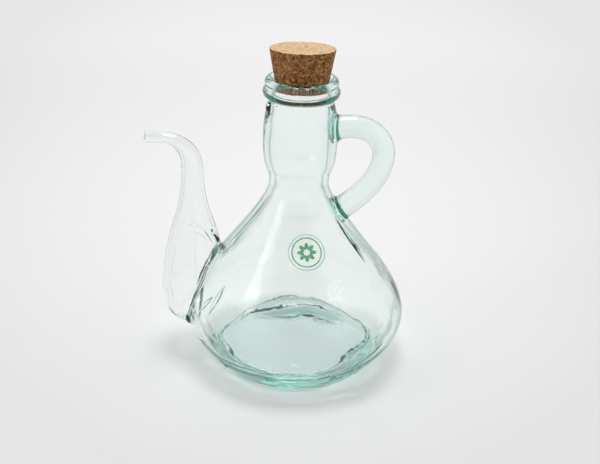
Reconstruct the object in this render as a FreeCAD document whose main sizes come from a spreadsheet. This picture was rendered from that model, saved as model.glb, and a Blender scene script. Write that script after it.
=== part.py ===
import FreeCAD, Part
import math
import os

import Sketcher

# A hand-blown glass cruet for oil, stopped with a tapered cork.
#
# The bottle is one piece of thick recycled glass: a squat round belly on a pushed-up foot, a long
# shoulder drawn in to a narrow waist, a slightly swollen neck and a lip folded over into two beads.
# A hollow teardrop is sunk into the side of the belly and opens into it. It draws out upwards into
# a thin spout that bends over level with the top of the neck. A solid glass rod is the handle.
#
# Millimetres. The origin is the middle of the foot on the table, +Z up, the spout towards -X and
# the handle towards +X. The bottle is the same on both sides of the XZ plane.
#
# Every rounded outline is a quadratic spline. It touches the middle of each straight leg between
# its poles, so the two poles of an upright leg share the radius that the glass really reaches.
# Heights are stacked: the shoulder stands on the belly, the waist on the shoulder, the neck on the
# waist and the lip on the neck. The spout follows the belly, the cork and the lip follow the mouth,
# and the handle's ends follow the neck and the waist that they melt into.

DIMENSIONS = {
    # Belly, shoulder and waist.
    "foot_radius": 47.2,
    "belly_radius": 65.2,
    "belly_height": 30.25,
    "belly_upright": 24.4,
    "shoulder_radius": 32.5,
    "shoulder_rise": 52.55,
    "waist_radius": 17.2,
    "waist_rise": 27.2,
    "waist_upright": 10.6,
    # The neck, from the middle of the waist to the crease under the lip.
    "neck_radius": 21.1,
    "neck_length": 46.0,
    "neck_swell_low": 12.3,
    "neck_swell_high": 8.4,
    # The foot: a ring worn flat round a shallow hollow.
    "foot_ring_width": 6.0,
    "foot_hollow_depth": 5.0,
    # The glass is thick at the base and where the neck is folded, thinner round the belly.
    "base_thickness": 7.5,
    "floor_rise": 4.0,
    "belly_wall": 3.4,
    "shoulder_wall": 4.6,
    "waist_wall": 3.8,
    "neck_wall": 4.2,
    # The mouth, measured at the top of the lip, and the taper that the cork shares with it.
    "mouth_radius": 15.57,
    "mouth_taper": 0.17,
    "mouth_rounding": 1.0,
    # The lip: two beads of round glass, one on the other, above the crease.
    "crease_wall": 2.93,
    "lower_bead_reach": 5.83,
    "lower_bead_rise": 5.2,
    "lower_bead_section": 4.3,
    "upper_bead_reach": 4.73,
    "upper_bead_rise": 11.2,
    "upper_bead_section": 2.6,
    # The cork.
    "cork_length": 23.4,
    "cork_sunk": 7.8,
    "cork_bevel": 0.9,
    "cork_clearance": 0.12,
    # The teardrop on the side of the belly: how far its axis lies inside the belly's radius, and
    # the poles of its outline as heights above and below the middle of its own bulge.
    "drop_sink": 4.3,
    "drop_rise": 13.75,
    "drop_radius": 19.9,
    "drop_upright": 7.8,
    "drop_depth": 24.2,
    "drop_bottom_radius": 15.1,
    "drop_waist_radius": 14.6,
    "drop_waist_rise": 31.7,
    "throat_low_radius": 6.4,
    "throat_low_rise": 54.6,
    "throat_radius": 5.9,
    "throat_rise": 73.2,
    "drop_wall": 2.2,
    "tail_radius": 3.6,
    "tail_reach": 4.6,
    "tail_drop": 1.0,
    # The thin spout: a quarter bend and a short level end.
    "bend_radius": 16.1,
    "spout_run": 10.1,
    "spout_tip_radius": 3.1,
    "tip_wall": 1.5,
    # The handle's centre line is a cubic curve, from the neck over and down to the shoulder.
    "handle_radius": 6.35,
    "handle_flare": 1.1,
    "handle_sink": 5.1,
    "handle_drop": 15.4,
    "handle_crest_reach": 27.0,
    "handle_crest_rise": 12.2,
    "handle_back_reach": 44.2,
    "handle_back_drop": 22.8,
    "handle_foot_reach": 0.8,
    "handle_foot_drop": 20.0,
    # A round clear film stuck on the shoulder, in front.
    "film_radius": 10.4,
    "film_thickness": 0.25,
    "film_gap": 0.2,
    "film_drop": 2.2,
    "film_bearing": 9.6,
}

BEND_STATIONS = 5      # sections round the spout's bend, both ends counted
HANDLE_STATIONS = 13   # sections along the handle, both ends counted
THROUGH = 1.0          # how far a cut runs past the face that it opens
FLAT = 0.001           # the most by which a level ring's edge may rise


class Size:
    """A length with the sheet formula that gives it, so that sums of sizes stay tied to the sheet."""

    def __init__(self, value, formula=None):
        self.value = value
        self.formula = formula or repr(float(value))

    def __add__(self, other):
        other = as_size(other)
        return Size(self.value + other.value, f"({self.formula} + {other.formula})")

    def __sub__(self, other):
        other = as_size(other)
        return Size(self.value - other.value, f"({self.formula} - {other.formula})")

    def __mul__(self, factor):
        factor = as_size(factor)
        return Size(self.value * factor.value, f"({self.formula} * {factor.formula})")

    def __truediv__(self, divisor):
        return Size(self.value / divisor.value, f"({self.formula} / {divisor.formula})")


def as_size(number):
    return number if isinstance(number, Size) else Size(number)


def bearing(across, up):
    """The angle from straight up to a direction in the XZ plane, in degrees."""
    angle = math.degrees(math.atan2(across.value, up.value))
    return Size(angle, f"atan2({across.formula}; {up.formula})")


doc = FreeCAD.newDocument("Cruet")
sheet = doc.addObject("Spreadsheet::Sheet", "Dimensions")
for row, (alias, number) in enumerate(DIMENSIONS.items(), start=1):
    sheet.set(f"A{row}", alias)
    sheet.set(f"B{row}", str(number))
    sheet.setAlias(f"B{row}", alias)
doc.recompute()
D = {alias: Size(number, f"Dimensions.{alias}") for alias, number in DIMENSIONS.items()}


# Levels and radii that several sub-parts share.
BELLY_LOW = D["belly_height"] - D["belly_upright"] * 0.5
BELLY_HIGH = D["belly_height"] + D["belly_upright"] * 0.5
SHOULDER_HEIGHT = D["belly_height"] + D["shoulder_rise"]
WAIST_HEIGHT = SHOULDER_HEIGHT + D["waist_rise"]
WAIST_LOW = WAIST_HEIGHT - D["waist_upright"] * 0.5
WAIST_HIGH = WAIST_HEIGHT + D["waist_upright"] * 0.5
CREASE_HEIGHT = WAIST_HEIGHT + D["neck_length"]
CREASE_RADIUS = D["mouth_radius"] + D["crease_wall"]
NECK_LOW = WAIST_HEIGHT + D["neck_swell_low"]
NECK_HIGH = CREASE_HEIGHT - D["neck_swell_high"]
UPPER_BEAD_HEIGHT = CREASE_HEIGHT + D["upper_bead_rise"]
LIP_HEIGHT = UPPER_BEAD_HEIGHT + D["upper_bead_section"]
SPOUT_AXIS = D["drop_sink"] - D["belly_radius"]
DROP_HEIGHT = D["belly_height"] + D["drop_rise"]
BEND_HEIGHT = DROP_HEIGHT + D["throat_rise"]


# Sketches -----------------------------------------------------------------------------------------

def new_body(name):
    body = doc.addObject("PartDesign::Body", name)
    body.Label = name
    return body


def new_sketch(body, name, role, offset_x=None):
    """A sketch on one of the body's own origin planes, moved along X where the piece needs it."""
    sketch = body.newObject("Sketcher::SketchObject", name)
    plane = next(item for item in body.Origin.OriginFeatures if item.Role == role)
    sketch.AttachmentSupport = (plane, [""])
    sketch.MapMode = "FlatFace"
    if offset_x is not None:
        sketch.setExpression(".AttachmentOffset.Base.x", offset_x.formula)
    return sketch


def bind_point(sketch, geometry, position, x, y):
    """Hold a point at (x, y); a coordinate that is plainly zero holds it on the axis."""
    for kind, axis, size in (("DistanceX", -2, as_size(x)), ("DistanceY", -1, as_size(y))):
        if size.value == 0.0:
            sketch.addConstraint(Sketcher.Constraint("PointOnObject", geometry, position, axis))
            continue
        index = sketch.addConstraint(
            Sketcher.Constraint(kind, -1, 1, geometry, position, size.value))
        sketch.setExpression(f"Constraints[{index}]", size.formula)


def as_vector(point):
    return FreeCAD.Vector(as_size(point[0]).value, as_size(point[1]).value, 0)


def draw_run(sketch, points):
    """One run of an outline: a straight edge, or a quadratic spline over its inner poles."""
    corners = [as_vector(point) for point in points]
    if len(points) == 2:
        return sketch.addGeometry(Part.LineSegment(corners[0], corners[1]), False)
    curve = Part.BSplineCurve()
    curve.buildFromPoles(corners, False, 2)
    geometry = sketch.addGeometry(curve, False)
    sketch.exposeInternalGeometry(geometry)
    for step, (x, y) in enumerate(points[1:-1], start=2):
        bind_point(sketch, geometry + step, 3, x, y)
    return geometry


def draw_outline(sketch, runs):
    """A closed outline. Each run lists its points and ends where the next one begins."""
    drawn = []
    for run, following in zip(runs, runs[1:] + runs[:1]):
        geometry = draw_run(sketch, run + following[:1])
        drawn.append(geometry)
        bind_point(sketch, geometry, 1, run[0][0], run[0][1])
    for geometry, following in zip(drawn, drawn[1:] + drawn[:1]):
        sketch.addConstraint(Sketcher.Constraint("Coincident", geometry, 2, following, 1))


def turn(body, name, runs, kind="PartDesign::Revolution", offset_x=None):
    """A piece, or a cut, turned about the upright axis of its own outline."""
    sketch = new_sketch(body, name + "_outline", "XZ_Plane", offset_x)
    draw_outline(sketch, runs)
    feature = body.newObject(kind, name)
    feature.Profile = sketch
    feature.ReferenceAxis = (sketch, ["V_Axis"])
    feature.Angle = 360.0
    return feature


def turn_bead(body, name, radius, height, section):
    """A ring of round glass whose outside reaches the given radius."""
    sketch = new_sketch(body, name + "_outline", "XZ_Plane")
    centre = (radius - section, height)
    circle = Part.Circle(as_vector(centre), FreeCAD.Vector(0, 0, 1), section.value)
    geometry = sketch.addGeometry(circle, False)
    bind_point(sketch, geometry, 3, *centre)
    index = sketch.addConstraint(Sketcher.Constraint("Radius", geometry, section.value))
    sketch.setExpression(f"Constraints[{index}]", section.formula)
    feature = body.newObject("PartDesign::Revolution", name)
    feature.Profile = sketch
    feature.ReferenceAxis = (sketch, ["V_Axis"])
    feature.Angle = 360.0
    return feature


def loft(body, name, stations, kind="PartDesign::AdditiveLoft"):
    """A round bar, or a bore, through circles. A station is x, z, its bearing and its radius."""
    sections = []
    for count, (x, z, angle, radius) in enumerate(stations, start=1):
        section = new_sketch(body, f"{name}_section_{count}", "XY_Plane", x)
        section.setExpression(".AttachmentOffset.Base.z", z.formula)
        section.AttachmentOffset = FreeCAD.Placement(
            FreeCAD.Vector(x.value, 0, z.value),
            FreeCAD.Rotation(FreeCAD.Vector(0, 1, 0), angle.value))
        section.setExpression(".AttachmentOffset.Rotation.Angle", angle.formula)
        circle = Part.Circle(FreeCAD.Vector(0, 0, 0), FreeCAD.Vector(0, 0, 1), radius.value)
        geometry = section.addGeometry(circle, False)
        section.addConstraint(Sketcher.Constraint("Coincident", geometry, 3, -1, 1))
        index = section.addConstraint(Sketcher.Constraint("Radius", geometry, radius.value))
        section.setExpression(f"Constraints[{index}]", radius.formula)
        sections.append(section)
    feature = body.newObject(kind, name)
    feature.Profile = sections[0]
    feature.Sections = sections[1:]
    return feature


# The bottle ---------------------------------------------------------------------------------------

def outer_poles(grown=0.0):
    """The outer outline from the foot to the crease, moved outwards by a given amount."""
    poles = [
        (D["foot_radius"], as_size(0.0)),
        (D["belly_radius"], BELLY_LOW),
        (D["belly_radius"], BELLY_HIGH),
        (D["shoulder_radius"], SHOULDER_HEIGHT),
        (D["waist_radius"], WAIST_LOW),
        (D["waist_radius"], WAIST_HIGH),
        (D["neck_radius"], NECK_LOW),
        (D["neck_radius"], NECK_HIGH),
        (CREASE_RADIUS, CREASE_HEIGHT),
    ]
    return [(radius + grown, height) for radius, height in poles] if grown else poles


def mouth_radius(height):
    """The mouth's radius at a height: it opens upwards by the taper that the cork shares."""
    return D["mouth_radius"] + (height - LIP_HEIGHT) * D["mouth_taper"]


def turn_form(body):
    """The solid outside of the bottle, with its hollow foot, up to the middle of the top bead."""
    outline = outer_poles()
    hollow_radius = D["foot_radius"] - D["foot_ring_width"]
    return turn(body, "form", [
        [(0.0, D["foot_hollow_depth"]), (hollow_radius * 0.5, D["foot_hollow_depth"])],
        [(hollow_radius, 0.0)],
        outline[:-1],
        [outline[-1]],
        [(CREASE_RADIUS, UPPER_BEAD_HEIGHT)],
        [(0.0, UPPER_BEAD_HEIGHT)],
    ])


def hollow_form(body):
    """The room inside: a slightly raised floor, the belly, the neck and the tapered mouth."""
    floor = D["foot_hollow_depth"] + D["base_thickness"]
    floor_edge = floor - D["floor_rise"]
    belly = D["belly_radius"] - D["belly_wall"]
    waist = D["waist_radius"] - D["waist_wall"]
    neck = D["neck_radius"] - D["neck_wall"]
    top = LIP_HEIGHT + THROUGH
    seat = LIP_HEIGHT - D["cork_sunk"] - D["mouth_rounding"]
    return turn(body, "inside", [
        [
            (0.0, floor),
            (D["foot_radius"] * 0.5, floor),
            (D["foot_radius"] * 0.96, floor_edge),
            (D["foot_radius"] * 1.04, floor_edge),
            (belly, BELLY_LOW + D["belly_wall"]),
            (belly, BELLY_HIGH),
            (D["shoulder_radius"] - D["shoulder_wall"], SHOULDER_HEIGHT),
            (waist, WAIST_LOW),
            (waist, WAIST_HIGH),
            (neck, NECK_LOW),
            (neck, NECK_HIGH),
        ],
        [(mouth_radius(seat), seat)],
        [(mouth_radius(top), top)],
        [(0.0, top)],
    ], "PartDesign::Groove")


def teardrop(body, name, kind, wall):
    """The teardrop, or with a wall the room inside it."""
    bottom = DROP_HEIGHT - D["drop_depth"] + wall
    bulge = D["drop_radius"] - wall
    return turn(body, name, [
        [
            (0.0, bottom),
            (D["drop_bottom_radius"] - wall * 0.5, bottom),
            (bulge, DROP_HEIGHT - D["drop_upright"] * 0.5),
            (bulge, DROP_HEIGHT + D["drop_upright"] * 0.5),
            (D["drop_waist_radius"] - wall, DROP_HEIGHT + D["drop_waist_rise"]),
            (D["throat_low_radius"] - wall, DROP_HEIGHT + D["throat_low_rise"]),
        ],
        [(D["throat_radius"] - wall, BEND_HEIGHT)],
        [(0.0, BEND_HEIGHT)],
    ], kind, SPOUT_AXIS)


def add_tail(body):
    """The pinched-off end of the teardrop's gather, a ball of glass in the angle under it."""
    tail = body.newObject("PartDesign::AdditiveSphere", "tail")
    tail.setExpression("Radius", D["tail_radius"].formula)
    plane = next(item for item in body.Origin.OriginFeatures if item.Role == "XY_Plane")
    tail.AttachmentSupport = (plane, [""])
    tail.MapMode = "FlatFace"
    tail.setExpression(".AttachmentOffset.Base.x", (SPOUT_AXIS - D["tail_reach"]).formula)
    height = DROP_HEIGHT - D["drop_depth"] - D["tail_drop"]
    tail.setExpression(".AttachmentOffset.Base.z", height.formula)
    return tail


def spout_stations(throat_radius, tip_radius, past_tip):
    """Sections round the bend and along the level end, narrowing evenly from throat to tip."""
    stations = []
    for step in range(BEND_STATIONS):
        angle = math.radians(90.0 * step / (BEND_STATIONS - 1))
        share = step / BEND_STATIONS
        x = SPOUT_AXIS - D["bend_radius"] * (1.0 - math.cos(angle))
        z = BEND_HEIGHT + D["bend_radius"] * math.sin(angle)
        radius = throat_radius * (1.0 - share) + tip_radius * share
        stations.append((x, z, Size(-math.degrees(angle)), radius))
    tip_x = SPOUT_AXIS - D["bend_radius"] - D["spout_run"] - past_tip
    stations.append((tip_x, BEND_HEIGHT + D["bend_radius"], Size(-90.0), tip_radius))
    return stations


def handle_stations():
    """Sections along the cubic centre line. The rod swells where its ends melt into the bottle."""
    root_height = CREASE_HEIGHT - D["handle_drop"]
    corners = [
        (D["neck_radius"] - D["handle_sink"], root_height),
        (D["neck_radius"] + D["handle_crest_reach"], root_height + D["handle_crest_rise"]),
        (D["neck_radius"] + D["handle_back_reach"], root_height - D["handle_back_drop"]),
        (D["waist_radius"] + D["handle_foot_reach"], WAIST_HEIGHT - D["handle_foot_drop"]),
    ]
    legs = [(after[0] - before[0], after[1] - before[1])
            for before, after in zip(corners, corners[1:])]
    stations = []
    for step in range(HANDLE_STATIONS):
        along = step / (HANDLE_STATIONS - 1)
        rest = 1.0 - along
        weights = (rest ** 3, 3 * rest ** 2 * along, 3 * rest * along ** 2, along ** 3)
        slopes = (rest ** 2, 2 * rest * along, along ** 2)
        x, z = (weighted_sum(weights, [corner[axis] for corner in corners]) for axis in (0, 1))
        across, up = (weighted_sum(slopes, [leg[axis] for leg in legs]) for axis in (0, 1))
        swell = D["handle_flare"] * abs(2.0 * along - 1.0) ** 6
        stations.append((x, z, bearing(across, up), D["handle_radius"] + swell))
    return stations


def weighted_sum(weights, sizes):
    total = sizes[0] * weights[0]
    for weight, size in zip(weights[1:], sizes[1:]):
        total = total + size * weight
    return total


def round_mouth(body):
    """Melt the sharp edge that the tapered mouth leaves on the top bead."""
    doc.recompute()
    level = [(edge.BoundBox.ZMax, f"Edge{count}")
             for count, edge in enumerate(body.Shape.Edges, start=1)
             if edge.BoundBox.ZLength < FLAT and abs(edge.BoundBox.Center.x) < FLAT]
    base = body.Tip
    fillet = body.newObject("PartDesign::Fillet", "mouth_edge")
    fillet.Base = (base, [max(level)[1]])
    fillet.setExpression("Radius", D["mouth_rounding"].formula)
    return fillet


def make_bottle():
    body = new_body("bottle")
    turn_form(body)
    turn_bead(body, "lower_bead", D["mouth_radius"] + D["lower_bead_reach"],
              CREASE_HEIGHT + D["lower_bead_rise"], D["lower_bead_section"])
    turn_bead(body, "upper_bead", D["mouth_radius"] + D["upper_bead_reach"],
              UPPER_BEAD_HEIGHT, D["upper_bead_section"])
    teardrop(body, "drop", "PartDesign::Revolution", as_size(0.0))
    add_tail(body)
    loft(body, "spout", spout_stations(D["throat_radius"], D["spout_tip_radius"], as_size(0.0)))
    loft(body, "handle", handle_stations())
    hollow_form(body)
    teardrop(body, "drop_inside", "PartDesign::Groove", D["drop_wall"])
    bore = spout_stations(D["throat_radius"] - D["drop_wall"],
                          D["spout_tip_radius"] - D["tip_wall"], as_size(THROUGH))
    loft(body, "spout_bore", bore, "PartDesign::SubtractiveLoft")
    round_mouth(body)
    return body


# The cork and the film ----------------------------------------------------------------------------

def make_cork():
    """A tapered cork with a small bevel round each end, sunk in the mouth."""
    body = new_body("cork")
    bottom = LIP_HEIGHT - D["cork_sunk"]
    top = bottom + D["cork_length"]
    bottom_radius = mouth_radius(bottom) - D["cork_clearance"]
    top_radius = mouth_radius(top) - D["cork_clearance"]
    bevel = D["cork_bevel"]
    bevel_taper = bevel * D["mouth_taper"]
    turn(body, "cork_form", [
        [(0.0, bottom)],
        [(bottom_radius - bevel, bottom)],
        [(bottom_radius + bevel_taper, bottom + bevel)],
        [(top_radius - bevel_taper, top - bevel)],
        [(top_radius - bevel, top)],
        [(0.0, top)],
    ])
    return body


def make_film():
    """A disc cut from a thin skin that follows the glass, square to the shoulder's slope."""
    skin = new_body("film_skin")
    near = outer_poles(D["film_gap"])
    far = outer_poles(D["film_gap"] + D["film_thickness"])
    turn(skin, "film_layer", [
        near[:-1],
        [near[-1]],
        far[:0:-1],
        [far[0]],
    ])
    height = SHOULDER_HEIGHT - D["film_drop"]
    run = D["belly_radius"] - D["shoulder_radius"]
    rise = SHOULDER_HEIGHT - BELLY_HIGH
    distance = D["shoulder_radius"] + D["film_drop"] * run / rise
    across = f"cos({D['film_bearing'].formula} * 1 deg)"
    aside = f"sin({D['film_bearing'].formula} * 1 deg)"
    tilt = bearing(rise, run).formula
    reach = f"({distance.formula} - {D['film_radius'].formula} * sin({tilt}))"
    punch = doc.addObject("Part::Cylinder", "film_punch")
    punch.setExpression("Radius", D["film_radius"].formula)
    punch.setExpression("Height", (D["film_radius"] * 2.0).formula)
    punch.Placement.Rotation = FreeCAD.Rotation(FreeCAD.Vector(1, 0, 0), 90.0)
    punch.setExpression("Placement.Base.x", f"{reach} * {aside}")
    punch.setExpression("Placement.Base.y", f"-{reach} * {across}")
    punch.setExpression("Placement.Base.z",
                        f"{height.formula} - {D['film_radius'].formula} * cos({tilt})")
    punch.setExpression("Placement.Rotation.Axis.x", across)
    punch.setExpression("Placement.Rotation.Axis.y", aside)
    punch.setExpression("Placement.Rotation.Angle", tilt)
    film = doc.addObject("Part::MultiCommon", "film")
    film.Label = "label"
    film.Shapes = [skin, punch]
    return film


# Build, check and write ---------------------------------------------------------------------------

def check_document(nodes):
    for item in doc.Objects:
        if "Invalid" in item.State or "Error" in item.State:
            raise RuntimeError(f"{item.Name} failed: {item.State}")
    for node in nodes:
        shape = node.Shape
        if shape.isNull() or not shape.isValid() or len(shape.Solids) != 1:
            raise RuntimeError(f"{node.Label} is not one valid solid")


nodes = [make_bottle(), make_cork(), make_film()]
doc.recompute()
check_document(nodes)
os.makedirs("parts", exist_ok=True)
for node in nodes:
    node.Shape.exportStep(os.path.join("parts", node.Label + ".step"))
    box = node.Shape.BoundBox
    print(f"{node.Label}: {node.Shape.Volume:.0f} mm3, x {box.XMin:.1f} {box.XMax:.1f},"
          f" y {box.YMin:.1f} {box.YMax:.1f}, z {box.ZMin:.1f} {box.ZMax:.1f}")
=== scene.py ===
"""Looks of a recycled-glass oil cruet: one closed mesh of melted glass, its cork and its label.

Lengths in the glass section are millimetres, as in the CAD source; meshes go out in metres.
The glass is one distance field: turned outlines, a bent spout and a handle rod that melt into
each other, less the rooms inside. A net of quads is drawn round it and pulled onto the surface.
"""

import math

import bpy
import numpy as np
from mathutils import Matrix, Vector


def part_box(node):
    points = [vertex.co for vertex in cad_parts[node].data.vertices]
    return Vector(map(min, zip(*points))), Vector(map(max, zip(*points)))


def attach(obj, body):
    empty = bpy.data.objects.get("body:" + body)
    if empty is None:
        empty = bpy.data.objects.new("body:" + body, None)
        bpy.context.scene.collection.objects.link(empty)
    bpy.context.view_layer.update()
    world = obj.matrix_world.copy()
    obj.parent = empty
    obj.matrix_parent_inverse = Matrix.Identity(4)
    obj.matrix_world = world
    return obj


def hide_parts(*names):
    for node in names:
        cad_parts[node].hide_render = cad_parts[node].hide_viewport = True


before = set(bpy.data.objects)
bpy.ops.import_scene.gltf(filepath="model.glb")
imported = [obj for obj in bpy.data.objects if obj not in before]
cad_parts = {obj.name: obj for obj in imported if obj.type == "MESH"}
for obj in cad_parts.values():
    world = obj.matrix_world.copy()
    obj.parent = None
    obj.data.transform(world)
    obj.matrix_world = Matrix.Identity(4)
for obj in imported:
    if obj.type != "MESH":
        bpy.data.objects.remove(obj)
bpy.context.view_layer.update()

scene = bpy.context.scene
scene.view_settings.view_transform = "Standard"


# Camera -------------------------------------------------------------------------------------------

# Solved from the outlines in the photo: metres, and degrees of looking down and of roll.
CAMERA_PLACE = (0.00155, -0.43027, 0.26777)
CAMERA_DOWN = 23.80
CAMERA_ROLL = 1.82

camera_data = bpy.data.cameras.new("camera")
camera_data.lens = 48.0
camera_data.sensor_width = 36.0
camera = bpy.data.objects.new("camera", camera_data)
scene.collection.objects.link(camera)
camera.matrix_world = (
    Matrix.Translation(CAMERA_PLACE)
    @ Matrix.Rotation(math.radians(90.0 - CAMERA_DOWN), 4, "X")
    @ Matrix.Rotation(math.radians(CAMERA_ROLL), 4, "Z")
)
scene.camera = camera


# Outlines -----------------------------------------------------------------------------------------

def quadratic(poles, steps=40):
    """Points along a quadratic spline that starts and ends on its first and last pole."""
    poles = np.array(poles, float)
    joints = (poles[1:] + poles[:-1]) / 2
    joints[0], joints[-1] = poles[0], poles[-1]
    t = np.linspace(0, 1, steps, endpoint=False)[:, None]
    runs = [(1 - t) ** 2 * a + 2 * t * (1 - t) * pole + t ** 2 * b
            for a, pole, b in zip(joints, poles[1:-1], joints[1:])]
    return np.concatenate(runs + [poles[-1:]])


class Turned:
    """Distance to a closed outline in (radius, height), from a grid read with smooth weights."""

    STEP = 0.5
    MARGIN = 9.0

    def __init__(self, outline):
        outline = np.array(outline, float)
        low = outline.min(0) - self.MARGIN
        high = outline.max(0) + self.MARGIN
        self.low = np.array([-2.0, low[1]])
        count = np.ceil((high - self.low) / self.STEP).astype(int) + 2
        r, z = np.meshgrid(*(self.low[k] + self.STEP * np.arange(count[k]) for k in (0, 1)),
                           indexing="ij")
        # The outline is mirrored in the axis, so that the axis itself is no edge.
        loop = np.concatenate([outline, outline[::-1] * (-1, 1)])
        a, b = loop, np.roll(loop, -1, 0)
        span = b - a
        keep = (span ** 2).sum(1) > 1e-12
        a, b, span = a[keep], b[keep], span[keep]
        points = np.stack([r.ravel(), z.ravel()], 1)
        best = np.full(len(points), np.inf)
        inside = np.zeros(len(points), bool)
        for start, end, leg in zip(a, b, span):
            away = points - start
            share = np.clip(away @ leg / (leg @ leg), 0, 1)
            best = np.minimum(best, ((away - share[:, None] * leg) ** 2).sum(1))
            crosses = (start[1] > points[:, 1]) != (end[1] > points[:, 1])
            if crosses.any():
                at = start[0] + (points[:, 1] - start[1]) * leg[0] / (leg[1] or 1.0)
                inside ^= crosses & (points[:, 0] < at)
        self.grid = (np.sqrt(best) * np.where(inside, -1, 1)).reshape(count)

    def __call__(self, r, z):
        """Cubic B-spline weights over the grid: smooth to the second derivative."""
        out = np.zeros_like(r)
        # Places stay far enough inside the grid for all four weights to have a point.
        place = [np.clip((v - self.low[k]) / self.STEP, 1, self.grid.shape[k] - 3 + 0.999)
                 for k, v in enumerate((r, z))]
        cell = [np.floor(v).astype(np.int32) for v in place]
        weights = []
        for v, c in zip(place, cell):
            t = v - c
            weights.append(((1 - t) ** 3 / 6, (3 * t ** 3 - 6 * t ** 2 + 4) / 6,
                            (-3 * t ** 3 + 3 * t ** 2 + 3 * t + 1) / 6, t ** 3 / 6))
        for i in range(4):
            for j in range(4):
                out += (weights[0][i] * weights[1][j]
                        * self.grid[cell[0] + i - 1, cell[1] + j - 1])
        return out


def melt(a, b, reach):
    """Union of two fields with a rounded seam."""
    h = np.maximum(reach - np.abs(a - b), 0.0) / reach
    return np.minimum(a, b) - h ** 3 * reach / 6


def cut(a, b, reach):
    """Field a less field b, with a rounded edge."""
    return -melt(-a, b, reach)


# The glass ----------------------------------------------------------------------------------------

FOOT_RADIUS = 47.2
LIP_HEIGHT = 169.8
# Both beads: outer radius, height and the radius of the bead's own section.
LOWER_BEAD = (21.4, 162.0, 3.8)
UPPER_BEAD = (20.3, 167.2, 2.3)
LIP_LEAN = 0.09
# The teardrop's axis, and the spout that bends over from its top and runs level to the tip.
DROP_AXIS = -60.9
BEND_HEIGHT = 117.2
BEND_RADIUS = 16.1
BEND_LENGTH = BEND_RADIUS * math.pi / 2
SPOUT_RUN = 10.1
SPOUT_OVERLAP = 6
# The spout's radius at the bend's start and at the tip.
SPOUT_OUTSIDE = (5.9, 3.1)
SPOUT_INSIDE = (3.9, 1.6)
# The handle: poles of its centre line in (x, z), its radius, and how much its ends swell.
HANDLE = np.array([(16.0, 140.6), (48.1, 152.8), (65.3, 117.8), (18.0, 90.0)])
ROD_RADIUS = 6.35
ROD_SWELL = 1.1
# How high the waves of uneven glass stand: outside, round the heel and inside.
OUTER_WAVE, HEEL_WAVE, INNER_WAVE = 0.18, 0.30, 0.5

outside = Turned(np.concatenate([
    [(0, 5.0)],
    quadratic([(0, 5.0), (20.6, 5.0), (41.2, 0.0)]),
    quadratic([(FOOT_RADIUS, 0), (65.1, 18.05), (65.1, 42.45), (32.5, 82.8), (17.2, 104.7),
               (17.2, 115.3), (21.1, 122.3), (21.1, 147.6), (18.5, 156)]),
    [(18.2, 166.8), (0, 166.8)],
]))
room = Turned(np.concatenate([
    quadratic([(0, 11.5), (24, 11.5), (46.5, 8.0)]),
    quadratic([(46.5, 8.0), (61.0, 17.5), (61.7, 42.4), (27.9, 82.8), (13.4, 104.7),
               (13.4, 115.3), (16.9, 122.3), (16.9, 156.0), (15.6, 161.0), (14.6, 163.0),
               (15.1, 167.4)]),
    quadratic([(15.15, 167.4), (15.6, 169.6), (17.0, 171.5), (20.0, 172.0)]),
    [(20.0, LIP_HEIGHT + 6), (0, LIP_HEIGHT + 6)],
]))
drop = Turned(np.concatenate([
    quadratic([(0, 19.8), (15.1, 19.8), (19.9, 40.1), (19.9, 47.9), (14.6, 75.7),
               (6.4, 98.6), (SPOUT_OUTSIDE[0], BEND_HEIGHT)]),
    [(0, BEND_HEIGHT)],
]))
drop_room = Turned(np.concatenate([
    quadratic([(0, 21.8), (14.0, 21.8), (17.9, 40.1), (17.9, 47.9), (12.6, 75.7),
               (4.4, 98.6), (SPOUT_INSIDE[0], BEND_HEIGHT)]),
    [(0, BEND_HEIGHT)],
]))


def spout(x, y, z, throat, tip):
    """Distance to the bent tube, and how far along it is, from the bend's start to the tip.

    The tube reaches a little way down into the teardrop, so that the two melt together.
    """
    dx, dz = x - (DROP_AXIS - BEND_RADIUS), z - BEND_HEIGHT
    angle = np.arctan2(dz, np.maximum(dx, 1e-6))
    in_bend = (dx > 0) & (dz > 0)
    below = (dz <= 0)
    off_arc = np.hypot(dx, dz) - BEND_RADIUS
    away = np.where(in_bend, np.hypot(off_arc, y),
                    np.where(below, np.hypot(x - DROP_AXIS, y), np.hypot(dz - BEND_RADIUS, y)))
    along = np.where(in_bend, angle * BEND_RADIUS, np.where(below, dz, BEND_LENGTH - dx))
    share = np.clip(along / BEND_LENGTH, 0, 1)
    share = share * share * (3 - 2 * share)
    return away - throat - (tip - throat) * share, along


def bezier(poles, t):
    """Points on the Bezier curve of any number of poles, at each t."""
    t = np.asarray(t)[:, None]
    while len(poles) > 1:
        poles = [a * (1 - t) + b * t for a, b in zip(poles, poles[1:])]
    return poles[0]


def rod(x, y, z):
    """Distance to the handle: the nearest point of its cubic centre line, found by Newton steps."""
    legs = np.diff(HANDLE, axis=0)
    t = np.linspace(0, 1, 41)
    curve = bezier(HANDLE, t)
    points = np.stack([x, z], 1)
    nearest = np.zeros(len(points))
    best = np.full(len(points), np.inf)
    for share, place in zip(t, curve):
        distance = ((points - place) ** 2).sum(1)
        better = distance < best
        best = np.where(better, distance, best)
        nearest = np.where(better, share, nearest)
    bends = np.diff(legs, axis=0)
    for _ in range(3):
        away = bezier(HANDLE, nearest) - points
        slope = 3 * bezier(legs, nearest)
        curl = 6 * bezier(bends, nearest)
        down = (slope ** 2).sum(1) + (away * curl).sum(1)
        step = (away * slope).sum(1) / np.where(np.abs(down) < 50, 50, down)
        nearest = np.clip(nearest - step, 0, 1)
    away = np.sqrt(((bezier(HANDLE, nearest) - points) ** 2).sum(1) + y ** 2)
    swell = ROD_SWELL * np.abs(2 * nearest - 1) ** 6
    return away - ROD_RADIUS - swell


def ring(r, z, radius, height, section):
    """Distance to a round bead with this outer radius."""
    return np.hypot(r - (radius - section), z - height) - section


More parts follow.
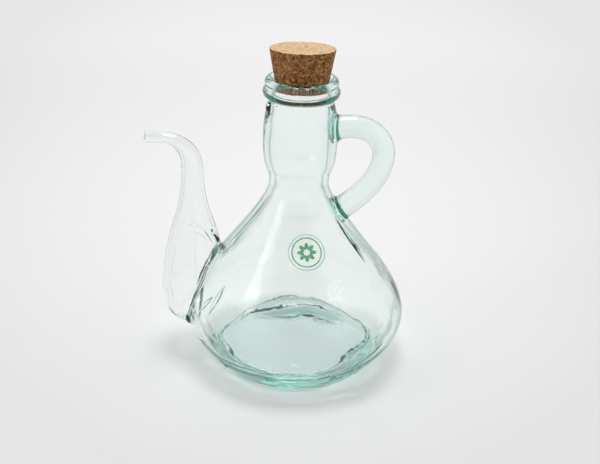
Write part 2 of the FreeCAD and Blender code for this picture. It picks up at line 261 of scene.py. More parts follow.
class Waves:
    """Smooth unevenness: a few long waves in fixed directions, at most 1 high."""

    def __init__(self, seed, shortest, longest, count=9):
        random = np.random.default_rng(seed)
        lengths = np.exp(random.uniform(np.log(shortest), np.log(longest), count))
        ways = random.normal(size=(count, 3))
        self.ways = ways / np.linalg.norm(ways, axis=1)[:, None] * (2 * math.pi / lengths)[:, None]
        self.starts = random.uniform(0, 2 * math.pi, count)

    def __call__(self, x, y, z):
        total = sum(np.sin(x * w[0] + y * w[1] + z * w[2] + s)
                    for w, s in zip(self.ways, self.starts))
        return total / len(self.ways)


outer_waves = Waves(3, 22, 60)
inner_waves = Waves(5, 18, 55)
heel_waves = Waves(8, 8, 15)
# The floor inside is not round: for each lobe its count, its size and where it points, in degrees.
FLOOR_LOBES = ((1, 2.1, 83), (2, 1.9, 110), (4, 1.1, 24))
# Where hot glass was pressed on or ran: both ends of each trail, and its radius at each end.
TRAILS = (
    ((-54.0, -8.8, 77.6), (-50.0, -5.6, 79.4), 0.8, 1.4),
    ((-50.0, -5.6, 79.2), (-46.4, -3.4, 73.0), 1.4, 1.3),
    ((-61.4, -17.5, 27.6), (-59.6, -16.5, 25.2), 3.2, 2.4),
    ((-67.6, -16.0, 36.6), (-66.6, -15.0, 30.6), 0.5, 1.7),
    ((-17.9, -7.4, 155.6), (-18.0, -7.8, 152.4), 1.5, 0.9),
    ((22.0, -12.5, 91.6), (33.2, -14.9, 76.6), 0.9, 2.3),
    ((33.2, -14.9, 76.6), (39.0, -18.2, 68.6), 2.3, 0.6),
    ((22.0, -51.0, 11.0), (33.0, -46.0, 13.5), 2.0, 2.4),
    ((37.0, -45.6, 17.5), (46.0, -38.6, 20.5), 2.6, 2.2),
    ((49.0, -36.2, 24.0), (55.8, -25.8, 27.5), 1.9, 0.8),
    ((-44.0, -37.6, 15.0), (-38.0, -42.0, 12.0), 1.0, 1.6),
)


def trail(x, y, z, start, end, first, last):
    """Distance to a round-ended rod whose radius changes along it."""
    leg = np.subtract(end, start)
    away = [v - c for v, c in zip((x, y, z), start)]
    share = np.clip(sum(v * c for v, c in zip(away, leg)) / (leg @ leg), 0, 1)
    return (np.sqrt(sum((v - share * c) ** 2 for v, c in zip(away, leg)))
            - first - (last - first) * share)


def glass_outside(x, y, z):
    """The outer skin: the turned body, the beads, the handle, the teardrop with its spout."""
    r = np.hypot(x, y)
    heel = np.exp(-np.clip((z - 10) / 9, -3, 3) ** 2) * np.clip((r - 44) / 8, 0, 1)
    body = (outside(r, z) + OUTER_WAVE * (1 + outer_waves(x, y, z))
            + HEEL_WAVE * (1 + heel_waves(x, y, z)) * heel)
    body = melt(body, ring(r, z, *LOWER_BEAD), 1.2)
    # The lip was turned by hand and leans a little towards the front.
    leaning = z - LIP_LEAN * y * np.clip((r - 15) / 4, 0, 1)
    body = melt(body, ring(r, leaning, *UPPER_BEAD), 1.0)
    body = melt(body, rod(x, y, z), 3.5)
    teardrop = drop(np.hypot(x - DROP_AXIS, y), z)
    tube, along = spout(x, y, z, *SPOUT_OUTSIDE)
    tube = cut(tube, along_end(along), 1.2)
    tube = np.maximum(tube, -SPOUT_OVERLAP - along)
    teardrop = melt(teardrop, tube, 1.5)
    body = melt(body, teardrop, 1.4)
    for one in TRAILS:
        body = melt(body, trail(x, y, z, *one), 1.2)
    return body


def along_end(along):
    """Field that is inside past the spout's tip."""
    return -(along - BEND_LENGTH - SPOUT_RUN)


def glass_inside(x, y, z):
    """The rooms inside: the body's, with a lobed floor, and the teardrop's with the spout's bore."""
    r = np.hypot(x, y)
    bearing = np.arctan2(y, x)
    lobes = sum(size * np.cos(count * bearing - math.radians(turn))
                for count, size, turn in FLOOR_LOBES)
    low = np.exp(-np.clip((z - 8) / 5.5, 0, 9) ** 2)
    evened = np.maximum(r - lobes * low * np.clip(r / 40, 0, 1), 0)
    # A groove runs round the floor where the wall was turned up.
    groove = 0.6 * low * np.exp(-((evened - 45.5) / 1.8) ** 2)
    hollow = room(evened, z + groove)
    hollow = hollow + INNER_WAVE * inner_waves(x, y, z) * np.clip((150 - z) / 10, 0, 1)
    teardrop = drop_room(np.hypot(x - DROP_AXIS, y), z)
    tube, along = spout(x, y, z, *SPOUT_INSIDE)
    tube = np.maximum(tube, -SPOUT_OVERLAP - along)
    return melt(hollow, melt(teardrop, tube, 1.5), 2.0)


def glass(x, y, z):
    """The glass itself. The thin spout takes a smaller rounding at its rim than the lip."""
    return cut(glass_outside(x, y, z), glass_inside(x, y, z), np.where(x < -44, 0.3, 1.4))


def steps_along(low, high, coarse, fine_spans, fine):
    """Positions from low to high that stand closer together inside the named spans."""
    places = [low]
    while places[-1] < high:
        inside = any(a <= places[-1] <= b for a, b in fine_spans)
        places.append(places[-1] + (fine if inside else coarse))
    return np.array(places)


def sample(field, axes, skip=4, near_surface=7.0):
    """The field on every grid point. Far from the surface every fourth point is enough."""
    shape = tuple(len(axis) for axis in axes)
    picks = [np.unique(np.append(np.arange(0, n, skip), n - 1)) for n in shape]
    coarse_axes = [axis[pick] for axis, pick in zip(axes, picks)]
    mesh = np.meshgrid(*coarse_axes, indexing="ij")
    values = field(*(m.ravel() for m in mesh)).reshape(mesh[0].shape)
    for k in range(3):
        index = np.interp(np.arange(shape[k]), picks[k], np.arange(len(picks[k])))
        low = np.minimum(np.floor(index).astype(int), len(picks[k]) - 2)
        share = (index - low).reshape([-1 if j == k else 1 for j in range(3)])
        values = (np.take(values, low, k) * (1 - share) + np.take(values, low + 1, k) * share)
    near = np.abs(values) < near_surface
    where = np.nonzero(near)
    values[near] = field(*(axis[w] for axis, w in zip(axes, where)))
    return values


def net(values, axes):
    """Quads round the surface: one point in each cell that it passes through."""
    inside = values < 0
    shape = tuple(n - 1 for n in values.shape)
    total = np.zeros(shape + (3,))
    count = np.zeros(shape, int)
    edges = []
    for k in range(3):
        first = tuple(slice(0, -1) if j == k else slice(None) for j in range(3))
        second = tuple(slice(1, None) if j == k else slice(None) for j in range(3))
        change = inside[first] != inside[second]
        at = np.nonzero(change)
        share = values[first][at] / (values[first][at] - values[second][at])
        place = np.stack([axis[w].astype(float) for axis, w in zip(axes, at)], 1)
        place[:, k] += share * (axes[k][at[k] + 1] - axes[k][at[k]])
        others = [j for j in range(3) if j != k]
        cells = []
        for a, b in ((1, 1), (0, 1), (0, 0), (1, 0)):
            cell = [w.copy() for w in at]
            cell[others[0]] -= a
            cell[others[1]] -= b
            cells.append(tuple(cell))
            np.add.at(total, tuple(cell), place)
            np.add.at(count, tuple(cell), 1)
        edges.append((cells, inside[first][at] ^ (k == 1)))
    used = count > 0
    number = np.full(shape, -1)
    number[used] = np.arange(used.sum())
    points = total[used] / count[used][:, None]
    quads = []
    for cells, outward in edges:
        quad = np.stack([number[cell] for cell in cells], 1)
        quad[~outward] = quad[~outward][:, ::-1]
        quads.append(quad)
    return points, np.concatenate(quads)


def slope(field, points, h=0.03):
    """The field's gradient at each point."""
    parts = []
    for k in range(3):
        step = np.zeros(3)
        step[k] = h
        high, low = points + step, points - step
        parts.append((field(*high.T) - field(*low.T)) / (2 * h))
    return np.stack(parts, 1)


def pull(field, points, limit=0.6, rounds=3):
    """Move the points straight onto the surface, by no more than the limit in each round."""
    for _ in range(rounds):
        value = field(*points.T)
        grade = slope(field, points)
        step = value / np.maximum((grade ** 2).sum(1), 0.05)
        move = step[:, None] * grade
        length = np.linalg.norm(move, axis=1)
        move *= np.minimum(1, limit / np.maximum(length, 1e-9))[:, None]
        points = points - move
    return points


def relax(points, quads, rounds=2):
    """Even out the net by moving each point towards the middle of its neighbours."""
    ends = np.concatenate([quads, np.roll(quads, -1, 1)]).reshape(2, -1)
    for _ in range(rounds):
        total = np.zeros_like(points)
        count = np.zeros(len(points))
        for a, b in (ends, ends[::-1]):
            np.add.at(total, a, points[b])
            np.add.at(count, a, 1)
        points = points + 0.5 * (total / np.maximum(count, 1)[:, None] - points)
    return points


def mesh_of(field, axes, name):
    """A smooth mesh of the field's surface, in metres, with the field's own normals."""
    points, quads = net(sample(field, axes), axes)
    points = pull(field, relax(points, quads))
    normals = slope(field, points)
    normals /= np.linalg.norm(normals, axis=1)[:, None]
    mesh = bpy.data.meshes.new(name)
    mesh.vertices.add(len(points))
    mesh.vertices.foreach_set("co", (points / 1000).astype(np.float32).ravel())
    mesh.loops.add(quads.size)
    mesh.loops.foreach_set("vertex_index", quads.astype(np.int32).ravel())
    mesh.polygons.add(len(quads))
    mesh.polygons.foreach_set("loop_start", np.arange(0, quads.size, 4, dtype=np.int32))
    mesh.update(calc_edges=True)
    mesh.validate()
    mesh.polygons.foreach_set("use_smooth", np.ones(len(mesh.polygons), bool))
    mesh.normals_split_custom_set_from_vertices(normals)
    print(name, "points", len(points), "quads", len(quads))
    return mesh


# The net is finer where the glass is thin or has small shapes: spout, neck, bend and lip.
axes = (
    steps_along(-91, 68, 1.5, [(-92, -44)], 0.85),
    steps_along(-68, 68, 1.5, [(-22, 22)], 1.0),
    steps_along(-2.4, 175, 1.5, [(18, 33), (118, 137), (155, 176)], 0.9),
)
bottle_mesh = mesh_of(glass, axes, "bottle_glass")
bottle = bpy.data.objects.new("bottle_glass", bottle_mesh)
scene.collection.objects.link(bottle)
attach(bottle, "root")
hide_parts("bottle")


# Materials ----------------------------------------------------------------------------------------

def new_material(name):
    """A material, its node tree and its Principled shader."""
    material = bpy.data.materials.new(name)
    material.use_nodes = True
    return material, material.node_tree, material.node_tree.nodes["Principled BSDF"]


def node(tree, kind, inputs=None, **settings):
    """A shader node with its settings, and with its inputs set or linked by name."""
    made = tree.nodes.new("ShaderNode" + kind)
    for key, value in settings.items():
        setattr(made, key, value)
    for key, value in (inputs or {}).items():
        if isinstance(value, bpy.types.NodeSocket):
            tree.links.new(value, made.inputs[key])
        else:
            made.inputs[key].default_value = value
    return made


def math_node(tree, operation, a, b=None, clamp=False):
    """A math node; each input is a socket or a number."""
    made = node(tree, "Math", operation=operation, use_clamp=clamp)
    for socket, value in zip(made.inputs, (a, b)):
        if value is None:
            continue
        if isinstance(value, (int, float)):
            socket.default_value = value
        else:
            tree.links.new(value, socket)
    return made.outputs[0]


def product(tree, first, *others):
    """All the values multiplied."""
    for other in others:
        first = math_node(tree, "MULTIPLY", first, other)
    return first


def split_xyz(tree, vector):
    """The three parts of a vector, by the names X, Y and Z."""
    return node(tree, "SeparateXYZ", {0: vector}).outputs


def radius_of(tree, x, y):
    """The length of (x, y)."""
    return math_node(tree, "SQRT", math_node(tree, "ADD", product(tree, x, x), product(tree, y, y)))


def rise(tree, value, low, high, bottom=0.0, top=1.0, smooth=False):
    """Goes from bottom to top while the value goes from low to high, and stays there."""
    return node(tree, "MapRange", {"Value": value, "From Min": low, "From Max": high,
                                   "To Min": bottom, "To Max": top},
                interpolation_type="SMOOTHSTEP" if smooth else "LINEAR").outputs["Result"]


def ramp_node(tree, fac, stops):
    """A colour ramp with (position, colour) stops."""
    made = tree.nodes.new("ShaderNodeValToRGB")
    ramp = made.color_ramp
    while len(ramp.elements) < len(stops):
        ramp.elements.new(0.5)
    for element, (position, colour) in zip(ramp.elements, stops):
        element.position = position
        element.color = (*colour, 1)
    tree.links.new(fac, made.inputs[0])
    return made.outputs["Color"]


def mix_colours(tree, factor, a, b, blend="MIX"):
    """A colour mix; the factor and both colours are sockets or values."""
    made = tree.nodes.new("ShaderNodeMix")
    made.data_type = "RGBA"
    made.blend_type = blend
    for socket, value in ((made.inputs[0], factor), (made.inputs[6], a), (made.inputs[7], b)):
        if isinstance(value, bpy.types.NodeSocket):
            tree.links.new(value, socket)
        else:
            socket.default_value = value if isinstance(value, (int, float)) else (*value, 1)
    return made.outputs[2]


def along_axis(tree, place, middle, axis):
    """How far the place lies from the middle along an axis, in millimetres."""
    offset = node(tree, "VectorMath", {0: place, 1: Vector(middle) / 1000}, operation="SUBTRACT")
    axis = Vector(axis).normalized() * 1000
    return node(tree, "VectorMath", {0: offset.outputs[0], 1: axis},
                operation="DOT_PRODUCT").outputs["Value"]


def pinch(tree, place, start, end, outward, width):
    """Height of a leaf-shaped mark that a tool left between two points of the surface."""
    start, end, outward = Vector(start), Vector(end), Vector(outward).normalized()
    middle = (start + end) / 2
    half = (end - start).length / 2
    down = (end - start).normalized()
    u = along_axis(tree, place, middle, down)
    v = along_axis(tree, place, middle, outward.cross(down))
    w = along_axis(tree, place, middle, outward)
    part = math_node(tree, "DIVIDE", u, half)
    leaf = math_node(tree, "SUBTRACT", 1.0, product(tree, part, part))
    over = math_node(tree, "SUBTRACT", product(tree, leaf, width), math_node(tree, "ABSOLUTE", v))
    mark = rise(tree, over, -0.3, 0.7, smooth=True)
    skin = rise(tree, w, -1.9, -1.5)
    return product(tree, mark, skin)


# Leaf-shaped marks on the outer surface: both ends, the way they face, half-width and height.
MARKS = (
    ((-54.6, -31.2, 39.8), (-46.4, -33.3, 51.0), (-0.75, -0.48, 0.46), 1.5, 1.6),
    ((-48.4, -38.8, 42.4), (-39.6, -34.0, 58.2), (-0.66, -0.54, 0.52), 1.7, 1.6),
    ((21.3, -12.8, 93.0), (38.5, -19.0, 69.5), (0.71, -0.36, 0.60), 1.1, 2.0),
    ((-49.6, -10.5, 67.0), (-61.0, -19.8, 37.0), (0.1, -0.99, 0.1), 1.0, 2.0),
    ((20.0, -52.0, 10.6), (35.5, -51.0, 19.5), (0.37, -0.73, -0.57), 1.3, 1.8),
    ((36.0, -51.0, 20.0), (50.5, -41.5, 28.5), (0.62, -0.71, -0.30), 1.3, 1.8),
    ((-47.0, -38.0, 17.5), (-38.0, -46.0, 15.0), (-0.60, -0.58, -0.54), 1.0, 1.4),
    ((-42.0, -7.5, 70.0), (-17.5, -8.0, 103.0), (-0.79, -0.15, 0.59), 0.8, 1.8),
)


def ring_groove(tree, place, split):
    """The groove round the floor inside, on the same uneven circle as the glass."""
    x, y, z = (split[axis] for axis in "XYZ")
    bearing = math_node(tree, "ARCTAN2", y, x)
    evened = product(tree, radius_of(tree, x, y), 1000.0)
    for count, size, turn in FLOOR_LOBES:
        lobe = math_node(tree, "COSINE", math_node(
            tree, "SUBTRACT", product(tree, bearing, count), math.radians(turn)))
        evened = math_node(tree, "SUBTRACT", evened, product(tree, lobe, size))
    stray = node(tree, "TexNoise", {"Vector": place, "Scale": 90.0, "Detail": 1.0})
    evened = math_node(tree, "ADD", evened, product(tree, stray.outputs["Fac"], 1.6))
    off = math_node(tree, "DIVIDE", math_node(tree, "SUBTRACT", evened, 46.3), 1.25)
    dip = math_node(tree, "EXPONENT", product(tree, off, off, -1.0))
    # It is on the floor's upper face only, and shallower on the far side from the label.
    return product(tree, dip, rise(tree, z, 0.0048, 0.0056), rise(tree, z, 0.0135, 0.0125),
                   rise(tree, y, 0.012, 0.034, 1.0, 0.35))


def bead_shade_band(tree, split, ripple):
    """1 on the band under the front of the lower bead, wider at the sides, where dark shade is
    painted.
    """
    x, y, z = (split[axis] for axis in "XYZ")
    across = math_node(tree, "DIVIDE", x, 0.019)
    spread = product(tree, across, across)
    level = math_node(tree, "ADD", product(tree, z, 1000.0), product(tree, ripple, 2.0))
    lowest = math_node(tree, "ADD", level, product(tree, spread, 2.5))
    highest = math_node(tree, "SUBTRACT", level, product(tree, spread, 2.2))
    radius = radius_of(tree, x, y)
    return product(tree, rise(tree, lowest, 159.8, 160.6), rise(tree, highest, 162.4, 161.6),
                   rise(tree, radius, 0.0182, 0.0190), rise(tree, radius, 0.0228, 0.0222),
                   rise(tree, y, -0.002, -0.009))


def glass_relief(tree, place, split, ripple, thick):
    """Height in millimetres of the ripples, the tool marks and the groove."""
    height = product(tree, ripple, thick, 0.14)
    for start, end, outward, width, tall in MARKS:
        mark = pinch(tree, place, start, end, outward, width)
        height = math_node(tree, "ADD", height, product(tree, mark, tall))
    return math_node(tree, "SUBTRACT", height, product(tree, ring_groove(tree, place, split), 2.2))


def glass_material():
    """Pale green glass with the small ripples and tool marks of hand work, and painted shade on its
    grazing edges and under the lower bead.
    """
    material, tree, shader = new_material("recycled_glass")
    shader.inputs["Roughness"].default_value = 0.0
    shader.inputs["IOR"].default_value = 1.5
    shader.inputs["Transmission Weight"].default_value = 1.0
    place = tree.nodes.new("ShaderNodeTexCoord").outputs["Object"]
    split = split_xyz(tree, place)
    # The teardrop and its spout were blown thin and clear, so the ripples and the painted edge shade
    # are weaker there.
    thick = rise(tree, split["X"], -0.056, -0.046)
    ripple = node(tree, "TexNoise", {"Vector": place, "Scale": 110.0, "Detail": 2.5,
                                     "Roughness": 0.5}).outputs["Fac"]
    bump = node(tree, "Bump", {"Strength": 1.0, "Distance": 0.001,
                               "Height": glass_relief(tree, place, split, ripple, thick)})
    tree.links.new(bump.outputs["Normal"], shader.inputs["Normal"])
    # Seen along the surface the glass is greener, and the ramp darkens its grazing edges almost to
    # black: painted shade for its dark outlines. The lower bead gets painted shade darker still.
    edge = node(tree, "LayerWeight", {"Blend": 0.5, "Normal": bump.outputs["Normal"]})
    rim = ramp_node(tree, edge.outputs["Facing"], [
        (0.64, (1, 1, 1)), (0.78, (0.22, 0.38, 0.34)), (0.92, (0.04, 0.10, 0.08))])
    rim = mix_colours(tree, thick, (1, 1, 1), rim)
    # Painted dark green shade on the band under the front of the lower bead.
    rim = mix_colours(tree, bead_shade_band(tree, split, ripple), rim, (0.0005, 0.045, 0.030))
    tree.links.new(rim, shader.inputs["Base Color"])
    volume = tree.nodes.new("ShaderNodeVolumeAbsorption")
    volume.inputs["Color"].default_value = (0.46, 0.87, 0.79, 1)
    volume.inputs["Density"].default_value = 20.0
    tree.links.new(volume.outputs["Volume"], tree.nodes["Material Output"].inputs["Volume"])
    return material


bottle.data.materials.append(glass_material())


# The cork -----------------------------------------------------------------------------------------

CORK_TAPER = 0.17
CORK_BEVEL = 0.45
CORK_CHIPS = 520


def cork_outline(low, high):
    """The cork's outline in (radius, height), from near the axis below to near the axis on top."""
    up, across = 70, 44
    bottom, top = low[2], high[2]
    top_radius = (high[0] - low[0]) / 2
    bottom_radius = top_radius - (top - bottom) * CORK_TAPER
    heights = np.linspace(0, 1, up)
    radii = bottom_radius + (top_radius - bottom_radius) * heights
    profile = [(radii[0] * s, bottom) for s in np.linspace(0.02, 0.985, across)]
    profile += [(r, bottom + CORK_BEVEL + (top - bottom - 2 * CORK_BEVEL) * h)
                for r, h in zip(radii, heights)]
    profile += [(radii[-1] * s, top) for s in np.linspace(0.985, 0.02, across)]
    return np.array(profile), bottom_radius


def chipped(points, bottom, top, bottom_radius):
    """The points with small chips broken out of the side and edges."""
    random = np.random.default_rng(11)
    dents = np.zeros(len(points))
    for _ in range(CORK_CHIPS):
        angle, height = random.uniform(0, 2 * math.pi), random.uniform(bottom, top)
        radius = bottom_radius + (height - bottom) * CORK_TAPER
        centre = np.array([radius * math.cos(angle), radius * math.sin(angle), height])
        stretch = random.uniform(0.6, 1.6, 3)
        size = random.choice([0.5, 0.8, 1.3], p=[0.6, 0.3, 0.1])
        away = (((points - centre) * stretch) ** 2).sum(1) / size ** 2
        depth = size * random.uniform(0.25, 0.5)
        dents = np.maximum(dents, depth * np.clip(1 - away, 0, 1) ** 0.6)
    inward = points * (-1, -1, 0)
    inward /= np.maximum(np.linalg.norm(inward, axis=1), 1e-6)[:, None]
    # The ends keep their flat middle.
    edge = np.clip((np.hypot(points[:, 0], points[:, 1]) - 11) / 3, 0, 1)
    return points + inward * (dents * edge)[:, None]


def cork_mesh():
    """A tapered plug turned from a dense outline, and chipped."""
    low, high = (corner * 1000 for corner in map(np.array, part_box("cork")))
    bottom, top = low[2], high[2]
    profile, bottom_radius = cork_outline(low, high)
    around = 336
    turn = np.linspace(0, 2 * math.pi, around, endpoint=False)
    x = profile[:, 0][:, None] * np.cos(turn)
    y = profile[:, 0][:, None] * np.sin(turn)
    z = np.repeat(profile[:, 1][:, None], around, 1)
    points = chipped(np.stack([x, y, z], -1).reshape(-1, 3), bottom, top, bottom_radius)
    points = np.concatenate([points, [(0, 0, bottom), (0, 0, top)]]) / 1000
    index = np.arange(len(profile) * around).reshape(len(profile), around)
    after = np.roll(index, -1, 1)
    quads = np.stack([index[:-1], after[:-1], after[1:], index[1:]], -1).reshape(-1, 4)
    faces = quads.tolist()
    foot, head = len(points) - 2, len(points) - 1
    faces += [(foot, b, a) for a, b in zip(index[0], after[0])]
    faces += [(head, a, b) for a, b in zip(index[-1], after[-1])]
    mesh = bpy.data.meshes.new("cork_stopper")
    mesh.from_pydata(points.tolist(), [], faces)
    mesh.polygons.foreach_set("use_smooth", np.ones(len(mesh.polygons), bool))
    mesh.update()
    return mesh


def cork_material():
    """Pressed granules: each its own brown, dark glue between them, dark bits of bark."""
    material, tree, shader = new_material("agglomerated_cork")
    place = tree.nodes.new("ShaderNodeTexCoord").outputs["Object"]
    stray = node(tree, "TexNoise", {"Vector": place, "Scale": 900.0, "Detail": 3.0})
    bent = mix_colours(tree, 0.0016, place, stray.outputs["Color"], "ADD")
    grain = node(tree, "TexVoronoi", {"Vector": bent, "Scale": 820.0})
    cell = tree.nodes.new("ShaderNodeSeparateColor")
    tree.links.new(grain.outputs["Color"], cell.inputs[0])
    seam = node(tree, "TexVoronoi", {"Vector": bent, "Scale": 820.0}, feature="DISTANCE_TO_EDGE")
    fine = node(tree, "TexNoise", {"Vector": place, "Scale": 2600.0, "Detail": 4.0,
                                   "Roughness": 0.65}).outputs["Fac"]
    side = ramp_node(tree, cell.outputs[0], [
        (0.0, (0.18, 0.066, 0.016)), (0.15, (0.25, 0.105, 0.030)), (0.5, (0.35, 0.165, 0.052)),
        (0.85, (0.45, 0.225, 0.080)), (1.0, (0.55, 0.30, 0.120))])
    top = ramp_node(tree, cell.outputs[0], [
        (0.0, (0.52, 0.29, 0.13)), (0.08, (0.70, 0.45, 0.23)), (0.5, (0.84, 0.60, 0.34)),
        (1.0, (0.92, 0.71, 0.45))])
    # Faces turned upwards are painted paler than the side, with fainter glue and bark.
    normal = split_xyz(tree, tree.nodes.new("ShaderNodeNewGeometry").outputs["Normal"])
    flat = ramp_node(tree, normal["Z"], [(0.55, (0, 0, 0)), (0.8, (1, 1, 1))])
    colour = mix_colours(tree, flat, side, top)
    speckle = ramp_node(tree, fine, [
        (0.30, (0.62, 0.55, 0.50)), (0.55, (1, 1, 1)), (0.75, (1.12, 1.10, 1.06))])
    colour = mix_colours(tree, 0.85, colour, speckle, "MULTIPLY")
    glue = ramp_node(tree, seam.outputs["Distance"], [(0.0, (0.42, 0.33, 0.27)), (0.07, (1, 1, 1))])
    glue = mix_colours(tree, flat, glue, mix_colours(tree, 0.35, (1, 1, 1), glue))
    colour = mix_colours(tree, 1.0, colour, glue, "MULTIPLY")
    bark = node(tree, "TexNoise", {"Vector": place, "Scale": 760.0, "Detail": 2.5,
                                   "Roughness": 0.6})
    dark = ramp_node(tree, bark.outputs["Fac"], [(0.59, (1, 1, 1)), (0.63, (0.16, 0.08, 0.05))])
    dark = mix_colours(tree, flat, dark, mix_colours(tree, 0.22, (1, 1, 1), dark))
    colour = mix_colours(tree, 1.0, colour, dark, "MULTIPLY")
    tree.links.new(colour, shader.inputs["Base Color"])
    tree.links.new(rise(tree, fine, 0.0, 1.0, 0.72, 0.95), shader.inputs["Roughness"])
    shader.inputs["Specular IOR Level"].default_value = 0.25
    granules = math_node(tree, "MULTIPLY", seam.outputs["Distance"], 1.5, clamp=True)
    height = math_node(tree, "ADD", granules, product(tree, fine, 0.5))
    bump = node(tree, "Bump", {"Strength": 0.45, "Distance": 0.0003, "Height": height})
    tree.links.new(bump.outputs["Normal"], shader.inputs["Normal"])
    return material


cork = bpy.data.objects.new("cork_stopper", cork_mesh())
scene.collection.objects.link(cork)
cork.data.materials.append(cork_material())
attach(cork, "root")
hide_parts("cork")


# The label ----------------------------------------------------------------------------------------

# How steep the film lies on the shoulder, and which way it faces.
FILM_SLOPE = math.radians(51.0)
FILM_BEARING = math.radians(9.6)


def label_material():
    """Clear film with a green ring and a plain rosette printed on it."""
    material, tree, shader = new_material("printed_film")
    low, high = (np.array(corner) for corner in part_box("label"))
    place = tree.nodes.new("ShaderNodeTexCoord").outputs["Object"]
    # The film's own plane: across it and up the slope, from its middle.
    mapping = tree.nodes.new("ShaderNodeMapping")
    mapping.vector_type = "TEXTURE"
    mapping.inputs["Location"].default_value = (low + high) / 2
    mapping.inputs["Rotation"].default_value = (FILM_SLOPE, 0, FILM_BEARING)
    tree.links.new(place, mapping.inputs["Vector"])
    split = split_xyz(tree, mapping.outputs["Vector"])
    radius = radius_of(tree, split["X"], split["Y"])
    angle = math_node(tree, "ARCTAN2", split["Y"], split["X"])
    # Eight petals: their reach swings with the angle.
    swing = math_node(tree, "ABSOLUTE", math_node(tree, "COSINE", product(tree, angle, 4.0)))
    reach = math_node(tree, "ADD", 0.0030, product(tree, swing, 0.0026))
    petals = ramp_node(tree, math_node(tree, "DIVIDE", radius, reach), [
        (0.36, (0, 0, 0)), (0.40, (1, 1, 1)), (0.92, (1, 1, 1)), (0.97, (0, 0, 0))])
    centimetres = product(tree, radius, 100.0)
    ring_ink = ramp_node(tree, centimetres, [
        (0.770, (0, 0, 0)), (0.785, (1, 1, 1)), (0.835, (1, 1, 1)), (0.850, (0, 0, 0))])
    edge_ink = ramp_node(tree, centimetres, [
        (0.955, (0, 0, 0)), (0.965, (0.30, 0.30, 0.30)), (1.0, (0.30, 0.30, 0.30))])
    ink = mix_colours(tree, 1.0, petals, ring_ink, "LIGHTEN")
    ink = mix_colours(tree, 1.0, ink, edge_ink, "LIGHTEN")
    blotch = node(tree, "TexNoise", {"Vector": place, "Scale": 700.0, "Detail": 3.0})
    green = ramp_node(tree, blotch.outputs["Fac"], [
        (0.3, (0.10, 0.42, 0.20)), (0.7, (0.20, 0.55, 0.30))])
    tree.links.new(green, shader.inputs["Base Color"])
    shader.inputs["Roughness"].default_value = 0.35
    clear = tree.nodes.new("ShaderNodeBsdfTransparent")
    clear.inputs["Color"].default_value = (0.985, 0.995, 0.985, 1)
    mix = tree.nodes.new("ShaderNodeMixShader")
    tree.links.new(product(tree, ink, 0.8), mix.inputs["Fac"])
    tree.links.new(clear.outputs[0], mix.inputs[1])
    tree.links.new(shader.outputs[0], mix.inputs[2])
    tree.links.new(mix.outputs[0], tree.nodes["Material Output"].inputs["Surface"])
    return material


bpy.data.objects["label"].material_slots[0].material = label_material()


# Floor, background and light ----------------------------------------------------------------------

# How bright the backdrop shows, and how bright the room is that lights the object.
BACKDROP = 0.80
ROOM = 0.84
ROOM_DARK = 0.12
# Metres: half the floor's width, how far it lies below the foot, and where it turns to backdrop.
FLOOR_SIZE = 6.0
FLOOR_DROP = 0.0002
FADE_START, FADE_END = 0.35, 1.1


def seen_directly(tree):
    """1 for rays that show the background: straight to the camera, or by way of glass."""
    path = tree.nodes.new("ShaderNodeLightPath")
    return math_node(tree, "MAXIMUM", path.outputs["Is Camera Ray"], math_node(
        tree, "MAXIMUM", path.outputs["Is Glossy Ray"], path.outputs["Is Transmission Ray"]))


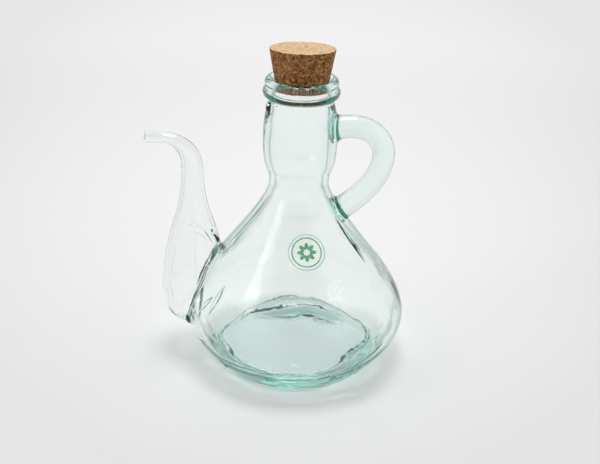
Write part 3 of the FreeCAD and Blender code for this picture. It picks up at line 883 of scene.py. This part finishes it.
def make_floor():
    """A white sweep. Its paint is paler in a pool round the bottle and darker to the sides, towards
    the front and far behind: a painted pool of light.
    """
    mesh = bpy.data.meshes.new("floor")
    corners = [(-1, -1), (1, -1), (1, 1), (-1, 1)]
    mesh.from_pydata([(FLOOR_SIZE * x, FLOOR_SIZE * y, -FLOOR_DROP) for x, y in corners],
                     [], [(0, 1, 2, 3)])
    floor = bpy.data.objects.new("floor", mesh)
    scene.collection.objects.link(floor)
    material, tree, shader = new_material("white_sweep")
    place = tree.nodes.new("ShaderNodeTexCoord").outputs["Object"]
    split = split_xyz(tree, place)
    # Painted pool of light: brightest just behind the bottle, fading to the sides, to the front and
    # far back.
    reach = math_node(tree, "MAXIMUM", math_node(tree, "ADD", split["Y"], 0.733), 0.35)
    fan = math_node(tree, "DIVIDE", split["X"], reach)
    near = math_node(tree, "SUBTRACT", math_node(tree, "DIVIDE", 1.0, reach), 0.947)
    shade = math_node(tree, "ADD", product(tree, fan, fan, 1.06), product(tree, near, near, 0.243))
    light_pool_paint = math_node(tree, "MAXIMUM", math_node(tree, "SUBTRACT", 0.924, shade), BACKDROP)
    colour = tree.nodes.new("ShaderNodeCombineColor")
    for channel in colour.inputs[:3]:
        tree.links.new(light_pool_paint, channel)
    tree.links.new(colour.outputs[0], shader.inputs["Base Color"])
    shader.inputs["Roughness"].default_value = 0.9
    shader.inputs["Specular IOR Level"].default_value = 0.0
    # Far from the object the sweep turns into the plain backdrop, so that no horizon shows.
    distance = node(tree, "VectorMath", {0: place}, operation="LENGTH").outputs["Value"]
    far = rise(tree, distance, FADE_START, FADE_END, smooth=True)
    plain = node(tree, "Emission", {"Color": colour.outputs[0], "Strength": 1.0})
    mix = node(tree, "MixShader", {
        "Fac": product(tree, far, seen_directly(tree)), 1: shader.outputs[0], 2: plain.outputs[0]})
    tree.links.new(mix.outputs[0], tree.nodes["Material Output"].inputs["Surface"])
    mesh.materials.append(material)


def make_world():
    """An even white studio. High up in front it is darker, so that the glass stays clear."""
    world = bpy.data.worlds.new("studio")
    scene.world = world
    world.use_nodes = True
    tree = world.node_tree
    seen = tree.nodes["Background"]
    seen.inputs["Color"].default_value = (1, 1, 1, 1)
    way = tree.nodes.new("ShaderNodeTexCoord").outputs["Generated"]
    towards = node(tree, "VectorMath", {0: way, 1: (0, -0.64, 0.77)}, operation="DOT_PRODUCT")
    light = rise(tree, towards.outputs["Value"], 0.70, 0.95, ROOM, ROOM_DARK, smooth=True)
    camera_ray = tree.nodes.new("ShaderNodeLightPath").outputs["Is Camera Ray"]
    mix = node(tree, "Mix", {0: camera_ray, 2: light, 3: BACKDROP})
    tree.links.new(mix.outputs[0], seen.inputs["Strength"])


def softbox(name, place, target, size, power):
    """A rectangular lamp at a place, aimed at a target."""
    light = bpy.data.lights.new(name, "AREA")
    light.shape = "RECTANGLE"
    light.size, light.size_y = size
    light.energy = power
    lamp = bpy.data.objects.new(name, light)
    scene.collection.objects.link(lamp)
    lamp.location = place
    lamp.rotation_euler = (Vector(target) - Vector(place)).to_track_quat("-Z", "Y").to_euler()


make_floor()
make_world()
softbox("overhead", (0.0, 0.15, 1.8), (0, 0, 0), (0.7, 0.7), 10.2)
softbox("left", (-0.89, -0.47, 0.72), (0, 0, 0.06), (0.32, 0.32), 0.6)
# Light has to get through many faces of glass, and reach the floor below it without being blurred.
scene.cycles.blur_glossy = 0.0
scene.cycles.max_bounces = 32
scene.cycles.transmission_bounces = 32
scene.cycles.glossy_bounces = 16
